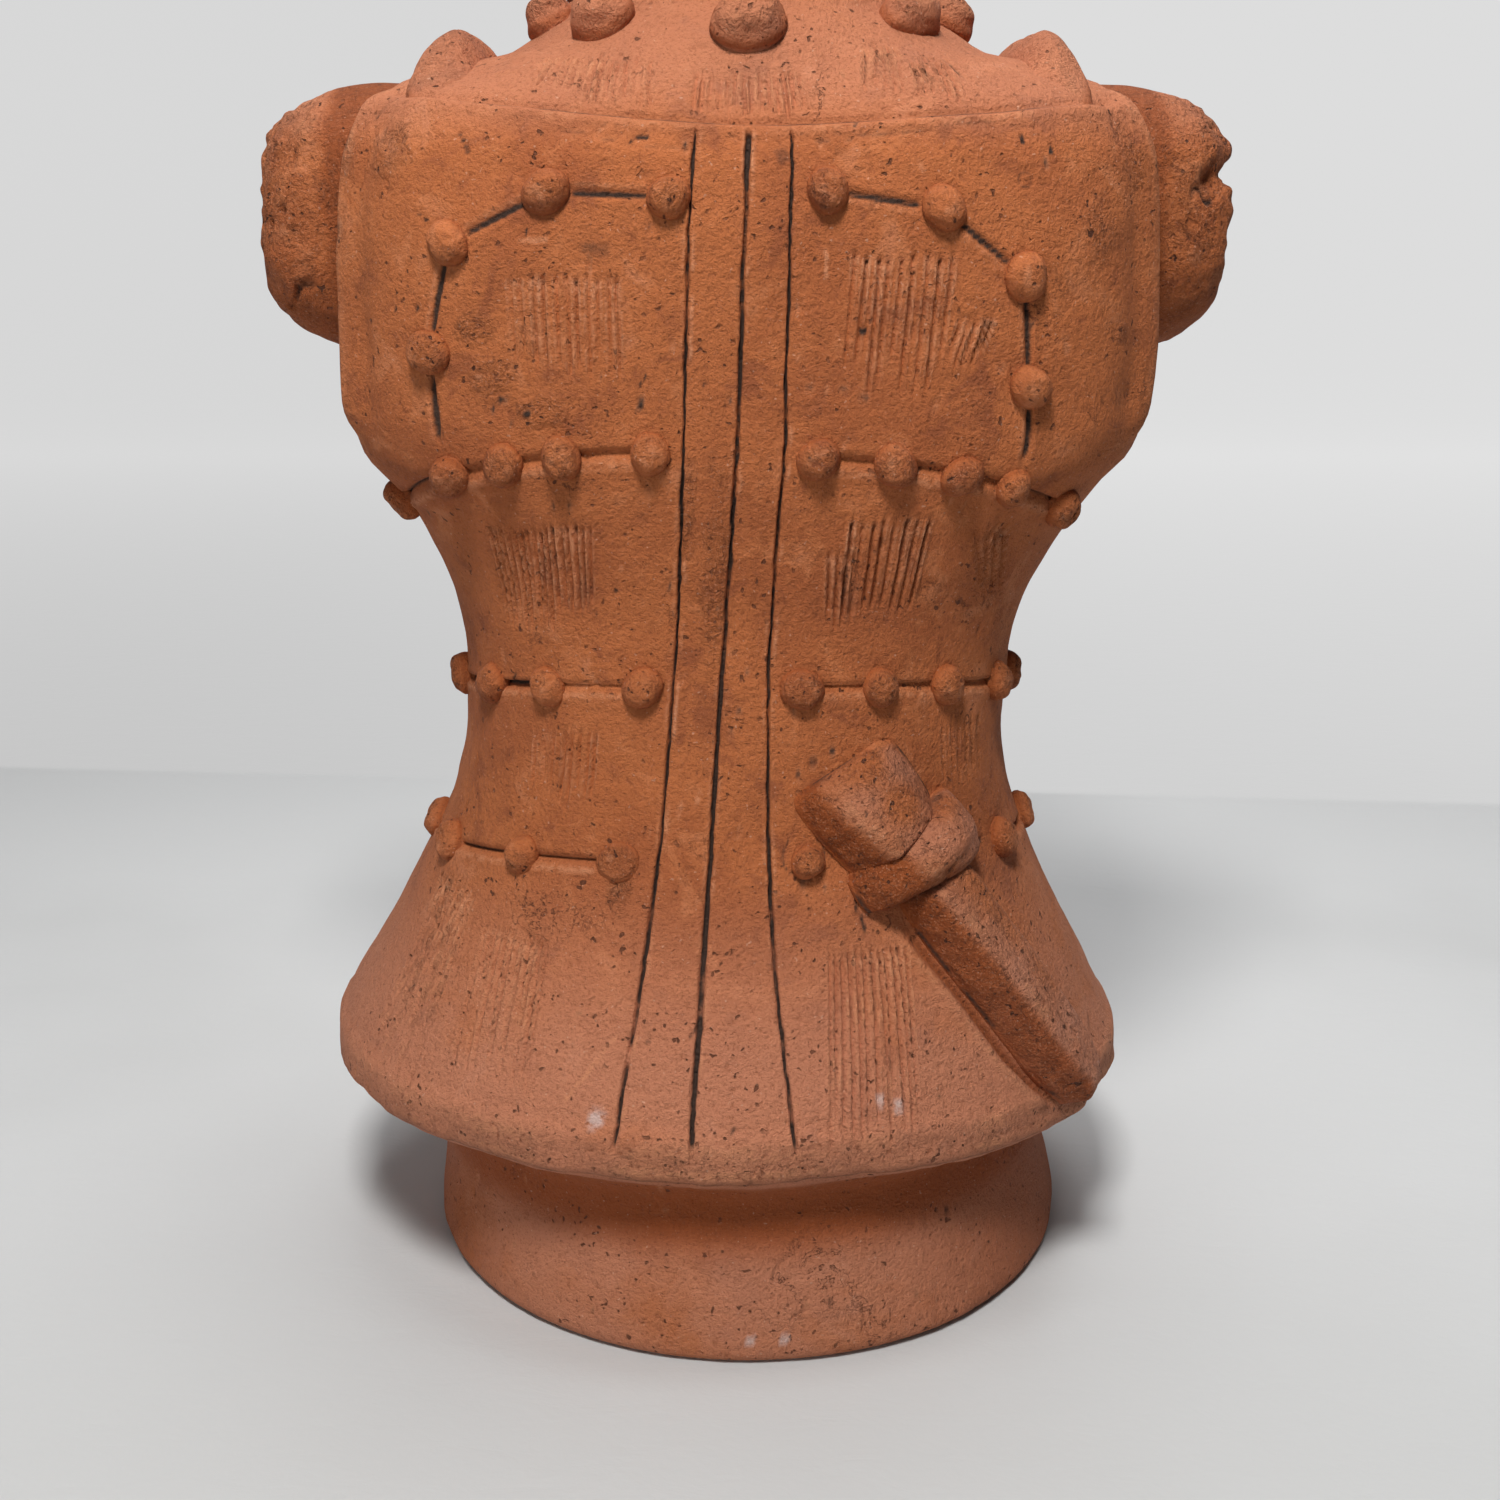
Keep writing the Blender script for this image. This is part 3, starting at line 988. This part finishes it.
def pressed_balls(place, half_width, half_height, out, fullness, rings, columns, seed):
    """Balls pressed on a surface: r^f + h^f = 1 above a flared foot that goes into the wall.

    Sizes are one value for each ball. Cracks and lumps are cut along the normals.
    """
    at, outward, up, side = (part[:, None, None, :] for part in place)
    half_width, half_height, out, fullness = (
        size[:, None, None] for size in (half_width, half_height, out, fullness))
    chance = np.random.default_rng(seed)
    rise = np.linspace(*BALL_RISE, rings)[None, :, None]
    lift = np.clip(rise, 0, 1) * np.pi / 2
    radius = np.cos(lift * 0.985) ** (2 / fullness) + 0.12 * bell(rise, 0.16) + 0.05 * (rise < -0.15)
    climb = np.sin(lift) ** (2 / fullness) * out - np.minimum(rise, 0) / BALL_RISE[0] * SUNK
    turn = np.linspace(0, 2 * np.pi, columns, endpoint=False)[None, None, :]
    oval = radius * (1 + 0.07 * np.cos(2 * turn + chance.uniform(0, 6, out.shape)))
    tilt = 0.12 * np.cos(turn + chance.uniform(0, 6, out.shape)) * radius
    over, along = half_width * oval * np.cos(turn), half_height * oval * np.sin(turn)
    stand = climb * (1 + tilt)
    points = at + side * over[..., None] + up * along[..., None] + outward * stand[..., None]
    size = float(np.mean(half_width))
    relief = 0.09 * size * lumps(points, 0.9 * size, seed)
    relief += 0.05 * size * lumps(points, 0.35 * size, seed + 1)
    cracks = drying_cracks(points, 1.3 * size, seed + 2, 0.90, 0.98, 3 * size, -0.25, 0.35)
    cracks = cracks * smoothstep(0.12, 0.35, rise)
    pits = patches(points, 0.32 * size, seed + 5, 0.5, 0.8) * smoothstep(0.2, 0.5, rise)
    relief = relief * smoothstep(-0.2, 0.1, rise) - 0.10 * size * cracks - 0.05 * size * pits
    foot = bell(rise - 0.03, 0.10) * np.ones_like(turn)
    dark_foot = 0.30 * foot * patches(points, 5, seed + 6, -0.4, 0.4)
    marks = {
        "soot": np.maximum(0.55 * cracks + 0.3 * pits, dark_foot),
        "worn": 0.5 * smoothstep(0.35, 0.9, rise) * patches(points, 0.5 * size, seed + 7, -0.1, 0.6),
        "broken": 0.8 * smoothstep(0.1, 0.4, rise) * patches(points, 4 * size, seed + 8, -0.5, 0.2),
        "deep": 0.7 * foot,
    }
    return swollen(points, relief), marks


def lacing_pellets():
    """All the pellets of the rows and of the armholes."""
    places = [(azimuth, row[0] + row_offset(row, azimuth))
              for row, azimuths in ROW_PELLETS.items() for azimuth in azimuths]
    places += [place for line in ARMHOLES for place in line[:-1]]
    azimuth, height = np.array(places, dtype=float).T
    chance = np.random.default_rng(5)
    radius = PELLET_RADIUS * chance.uniform(0.92, 1.05, azimuth.size)
    out = PELLET_OUT * chance.uniform(0.85, 1.05, azimuth.size)
    turned = np.abs((azimuth + 180) % 360 - 180)
    fullness = np.where(turned > FLAT_FROM, FLAT_FULLNESS, ROUND_FULLNESS)
    out[azimuth == SMEARED_PELLET] = SMEARED_OUT
    radius[azimuth == SMALL_PELLET] = SMALL_RADIUS
    place = seat(torso_surface, azimuth, height)
    return pressed_balls(place, radius, radius, out, fullness, PELLET_RINGS, PELLET_COLUMNS, 500)


clay_object("lacing_pellets", *lacing_pellets())


# ---------------------------------------------------------------- necklace
# Large flattened beads of clay stand round the base of the neck, pressed on one
# by one, with open drying cracks.

BEAD_AZIMUTHS = np.array([0, -43, 49, -78, 82, -122, 126, 180], dtype=float)
BEAD_HEIGHT = 408.5
BEAD_RISE = 4.5
BEAD_SIZES = (10.2, 8.3, 9.6, 2.6)  # half width, half height, how far out, fullness
FRONT_BEAD, OTHER_BEADS = 1.04, 0.97
BEAD_RINGS, BEAD_COLUMNS = 34, 60


def necklace():
    """Beads on the slope of the collar, higher at the sides, the front one a little larger."""
    height = BEAD_HEIGHT + BEAD_RISE * np.sin(np.radians(BEAD_AZIMUTHS)) ** 2
    place = seat(torso_surface, BEAD_AZIMUTHS, height)
    sizes = np.outer(BEAD_SIZES, np.where(BEAD_AZIMUTHS == 0, FRONT_BEAD, OTHER_BEADS))
    return pressed_balls(place, *sizes, BEAD_RINGS, BEAD_COLUMNS, 640)


clay_object("necklace_beads", *necklace())


# ---------------------------------------------------------------- dagger
# A short sword in its scabbard lies slanting over the skirt: a lumpy hilt, a
# cross band and a ridged blade, each a piece of clay laid on and pressed down.

# azimuth, height, half width, how far it stands out
HILT = [(23.6, 190, 16.5, 2.5), (25, 186.5, 19, 8), (29, 179, 19.5, 14), (33.5, 169.5, 19, 17),
        (36, 163, 18, 16)]
GUARD = [(36, 168.5, 21, 10), (37.5, 164.5, 23.5, 16.5), (39.3, 158, 24.5, 18.5),
         (40.8, 152.5, 23.5, 15), (41.4, 149, 20, 8)]
BLADE = [(41, 155, 15, 13), (45, 143, 16, 14.5), (51.5, 119.5, 16.5, 15), (57.5, 95.5, 15.5, 14.5),
         (60.3, 84, 13, 12), (61.6, 79, 9.5, 6)]
# outlines of the sections in shares of half width and height, from the upper side, at 1, over
# the steep lower side, at -1
HILT_OUTLINE = [(1, 0), (0.6, 0.66), (-0.38, 1), (-0.62, 0.72), (-0.82, 0.30), (-1, 0)]
GUARD_OUTLINE = [(1, 0), (0.85, 0.55), (0.45, 0.95), (-0.2, 1), (-0.8, 0.62), (-1, 0)]
BLADE_OUTLINE = [(1, 0), (0.45, 0.8), (-0.45, 1), (-0.72, 0.9), (-1, 0)]
DAGGER_COLUMNS = 110
END_ROUNDING = 0.12


def section(outline, columns):
    """Evenly spaced points round an outline closed by a foot in the wall, its corners softened."""
    corners = np.array([*outline, (-1, -1), (1, -1), outline[0]], dtype=float)
    passed = np.concatenate([[0], np.cumsum(np.linalg.norm(np.diff(corners, axis=0), axis=1))])
    place = np.linspace(0, passed[-1], columns, endpoint=False)
    points = np.stack([np.interp(place, passed, corners[:, axis]) for axis in (0, 1)], -1)
    for _ in range(6):
        points = (np.roll(points, 1, axis=0) + 2 * points + np.roll(points, -1, axis=0)) / 4
    return points.T


def laid_bar(stations, outline, rings, seed):
    """A bar following the wall through its stations, with a steep rough side and rounded ends."""
    share = np.linspace(0, 1, rings)
    table = np.column_stack([np.linspace(0, 1, len(stations)), stations])
    azimuth, height, half_width, out = read_table(table, share).T
    at, outward, _, _ = seat(torso_surface, azimuth, height)
    side = unit(np.cross(outward, np.gradient(at, axis=0)))
    from_end = np.minimum(share, 1 - share)[:, None]
    fullness = np.sqrt(1 - (1 - np.clip(from_end / END_ROUNDING, 0.02, 1)) ** 2)
    over, stand = section(outline, DAGGER_COLUMNS)[:, None, :]
    across = over * half_width[:, None] * (0.8 + 0.2 * fullness)
    up = np.where(stand > 0, stand * out[:, None] * fullness, stand * SUNK)
    points = at[:, None] + side[:, None] * across[..., None] + outward[:, None] * up[..., None]
    crest = max(outline, key=lambda corner: corner[1])[0]
    steep = (1 - smoothstep(crest - 0.28, crest - 0.06, over)) * np.ones_like(up)
    relief = 0.6 * lumps(points, 15, seed) + 0.35 * lumps(points, 6, seed + 1)
    relief += (0.20 + 0.20 * steep) * lumps(points, 2.6, seed + 2)
    cracks = drying_cracks(points, 12, seed + 3, 0.93, 0.99, 20, 0.1)
    pits = patches(points, 2.4, seed + 8, 0.55, 0.85) * patches(points, 13, seed + 9, -0.3, 0.4)
    exposed = smoothstep(0, 3, up)
    creased = bell(up, 1.2) * patches(points, 7, seed + 6, -0.4, 0.5)
    at_end = bell(from_end, 0.07) * patches(points, 5, seed + 11, -0.5, 0.3)
    marks = {
        "soot": exposed * (0.65 * cracks + 0.55 * pits + 0.50 * at_end) + 0.60 * creased,
        "dust": exposed * (1 - steep) * patches(points, 12, seed + 12, -0.6, 0.6),
        "worn": exposed * 0.7 * bell(over - crest, 0.14) * patches(points, 5, seed + 7, -0.3, 0.5),
        "broken": exposed * (0.75 + 0.25 * steep),
        "deep": steep * (0.85 + 0.15 * lumps(points, 9, seed + 10)),
    }
    moved = swollen(points, exposed * (relief - 0.9 * cracks - 0.7 * pits))
    return moved[None], {name: values[None] for name, values in marks.items()}


clay_object("dagger_hilt", *laid_bar(HILT, HILT_OUTLINE, 90, 700))
clay_object("dagger_guard", *laid_bar(GUARD, GUARD_OUTLINE, 60, 720))
clay_object("dagger_blade", *laid_bar(BLADE, BLADE_OUTLINE, 150, 740))


# ---------------------------------------------------------------- head
# The head is hollow like the body, with eyes and mouth cut right through the
# wall, a pinched nose, low brows and a plain round cap with a rolled edge.

# height, half width, half depth, how far the section leans forward
HEAD = np.array([
    [420, 58, 54, 0], [446, 53, 50, 1], [453, 56, 54, 3], [466, 59.5, 58, 3], [486, 61.5, 61, 1.5],
    [510, 62, 62.5, 0], [534, 61, 62, 0], [538, 63.5, 64.5, 0], [542, 67, 68, 0], [548, 67, 68, 0],
    [553, 63, 64, 0], [566, 59, 60, 0], [578, 49, 50, 0], [587, 32, 33, 0], [591, 13, 13, 0],
    [591.6, 2, 2, 0],
])
HEAD_FOOT = 421.0
HEAD_CROWN = 591.6
HEAD_COLUMNS = 288
CROWN_FROM = 556.0
INNER_CROWN = 580.0
# azimuth, height, half width in degrees and half height of the opening, and of the grid block it takes
EYE_BLOCK = (11.25, 8.0)
MOUTH_BLOCK = (11.25, 6.0)
OPENINGS = [
    ((-22.5, 512.0), (10.8, 3.8), EYE_BLOCK),
    ((22.5, 512.0), (10.8, 3.8), EYE_BLOCK),
    ((0.0, 473.0), (11.4, 2.2), MOUTH_BLOCK),
]
# height and how far the nose stands out
NOSE_RIDGE = np.array([[480, 0], [483.5, 2], [486, 12.5], [492, 14], [507, 6.5], [524, 1.5], [531, 0]])
NOSE_WIDTH = np.array([[480, 7.5], [492, 8], [507, 5], [531, 5]])
BROW_FROM, BROW_TO, BROW_HEIGHT, BROW_RISE, BROW_DROP, BROW_OUT = 7.0, 44.0, 524.0, 3.0, 8.0, 2.8


def head_surface(azimuth, height):
    """The head's wall: an ellipse at each height, leaning forward over the chin."""
    half_width, half_depth, forward = np.moveaxis(read_table(HEAD, height), -1, 0)
    angle = np.radians(azimuth)
    radius = section_radius(angle, half_width, half_depth, 2)
    return np.stack([radius * np.sin(angle), -forward - radius * np.cos(angle), height], -1)


def head_grid():
    """Azimuth and height of each point; rows are denser at the mouth, nose, eyes and cap edge."""
    stops = [(HEAD_FOOT, 467, 20), (467, 479, 10), (479, 490, 11), (490, 504, 8), (504, 520, 12),
             (520, 532, 7), (532, CROWN_FROM, 18)]
    lower = [np.linspace(low, high, count, endpoint=False) for low, high, count in stops]
    lift = np.sin(np.linspace(0, np.pi / 2, 26))
    row = np.concatenate([*lower, CROWN_FROM + (HEAD_CROWN - CROWN_FROM) * lift])
    column = np.linspace(-180, 180, HEAD_COLUMNS, endpoint=False)
    return np.meshgrid(column, row)


def rounded_openings(azimuth, height):
    """Draws the grid lines round each block together until the block is a pointed oval.

    A point's distance from the centre is that of the square ring it lies on. On the block's own
    ring it moves onto the oval, and the shift fades out at 1.8 times the block's size.
    """
    for (centre_azimuth, centre_height), opening, block in OPENINGS:
        over = (azimuth - centre_azimuth) / block[0]
        up = (height - centre_height) / block[1]
        ring = np.maximum(np.abs(over), np.abs(up))
        round_off = ring / np.maximum(np.hypot(over, up), 1e-6)
        pointed = 0.35 + 0.65 * np.abs(up) * round_off / np.maximum(ring, 1e-6)
        near = 1 - smoothstep(1.0, 1.8, ring)
        azimuth = azimuth + near * over * (round_off * opening[0] - block[0])
        height = height + near * up * (round_off * pointed * opening[1] - block[1])
    return azimuth, height


def face_relief(azimuth, height, points):
    """Nose, brows and lids in mm outward, worked out from x, azimuth and height."""
    ridge = read_table(NOSE_RIDGE, height)[..., 0] * (height > NOSE_RIDGE[0, 0])
    width = read_table(NOSE_WIDTH, height)[..., 0]
    front = np.abs(azimuth) < 60
    nose = ridge * (1 - smoothstep(0.35 * width, 1.15 * width, np.abs(points[..., 0]))) * front
    share = (np.abs(azimuth) - BROW_FROM) / (BROW_TO - BROW_FROM)
    line = BROW_HEIGHT + BROW_RISE * np.sin(np.pi * np.clip(share, 0, 1)) - BROW_DROP * share**2
    brow = BROW_OUT * bell(height - line, 3.4) * within(share, 0.12)
    lids = np.zeros_like(azimuth)
    for (centre_azimuth, centre_height), opening, _ in OPENINGS:
        over = (azimuth - centre_azimuth) / (opening[0] * 1.12)
        up = (height - centre_height) / (opening[1] * 1.9)
        lids += 0.9 * bell(np.hypot(over, up) - 1.0, 0.35)
    return nose + brow + lids


def opening_walls(azimuth_lines, height_lines, inner_start):
    """Faces left out of the two walls for each opening, and the quads that line its thickness."""
    columns = azimuth_lines.size
    left_out, lining = [], []
    for (centre_azimuth, centre_height), _, block in OPENINGS:
        c0, c1 = (int(np.argmin(np.abs(azimuth_lines - centre_azimuth - s * block[0]))) for s in (-1, 1))
        r0, r1 = (int(np.argmin(np.abs(height_lines - centre_height - s * block[1]))) for s in (-1, 1))
        across, climb = np.arange(c0, c1), np.arange(r0, r1)
        lowest, highest = r0 * columns, r1 * columns
        rim = np.concatenate([lowest + across, climb * columns + c1, highest + across[::-1] + 1,
                              (climb[::-1] + 1) * columns + c0])
        after = np.roll(rim, -1)
        lining.append(np.stack([rim, after, after + inner_start, rim + inner_start], -1))
        left_out.append((climb[:, None] * columns + across).ravel())
    return np.concatenate(left_out), np.concatenate(lining)


def head_shell():
    """Outer and inner wall with the same grid, joined at the foot and through the openings."""
    column_lines, row_lines = head_grid()
    azimuth, height = rounded_openings(column_lines, row_lines)
    outer = head_surface(azimuth, height)
    relief = 0.7 * lumps(outer, 34, 800) + 0.35 * lumps(outer, 13, 801) + 0.14 * lumps(outer, 5, 802)
    relief += face_relief(azimuth, height, outer)
    seam = 0.5 * bell(height - 557 - 1.5 * lumps(outer, 30, 803), 1.2)
    outer = swollen(outer, (relief - seam) * smoothstep(HEAD_CROWN, HEAD_CROWN - 3, height))
    squeeze = (INNER_CROWN - CROWN_FROM) / (HEAD_CROWN - CROWN_FROM)
    inner_height = np.where(height > CROWN_FROM, CROWN_FROM + (height - CROWN_FROM) * squeeze, height)
    inner = wall_points(HOLLOW, azimuth, inner_height)
    rows, columns = azimuth.shape
    start = rows * columns
    outer_faces = ring_faces(rows, columns, False)
    left_out, lining = opening_walls(column_lines[0], row_lines[:, 0], start)
    outer_faces = np.delete(outer_faces, left_out, axis=0)
    ring = np.arange(columns)
    after = (ring + 1) % columns
    foot = np.stack([ring, ring + start, after + start, after], -1)
    quads = np.concatenate([outer_faces, outer_faces[:, ::-1] + start, lining, foot]).tolist()
    last = ring + start - columns
    marks = {"soot": 0.35 * seam, "worn": 0.4 * smoothstep(3, 9, relief)}
    marks = {name: np.concatenate([values, 0 * values]) for name, values in marks.items()}
    return np.concatenate([outer, inner]), quads + [last.tolist(), (last[::-1] + start).tolist()], marks


finished_clay("head_shell", *head_shell())


# ---------------------------------------------------------------- ears
# Each ear is an upright oval of clay pressed on the side of the head and
# hollowed with a thumb.

EAR_AZIMUTHS = np.array([-93.0, 93.0])
EAR_HEIGHT = 503.0
EAR_SIZES = (7.0, 16.0, 7.5, 3.0)  # half width, half height, how far out, fullness
EAR_HOLLOW = 5.0
EAR_RINGS, EAR_COLUMNS = 44, 60


def ears():
    """Upright pressed ovals with a hollow in the middle, as deep as most of their thickness."""
    place = seat(head_surface, EAR_AZIMUTHS, np.full(2, EAR_HEIGHT))
    points, marks = pressed_balls(place, *np.outer(EAR_SIZES, [1, 1]), EAR_RINGS, EAR_COLUMNS, 900)
    rise = np.linspace(*BALL_RISE, EAR_RINGS)[None, :, None, None]
    return points - EAR_HOLLOW * smoothstep(0.62, 0.95, rise) * place[1][:, None, None, :], marks


clay_object("ears", *ears())
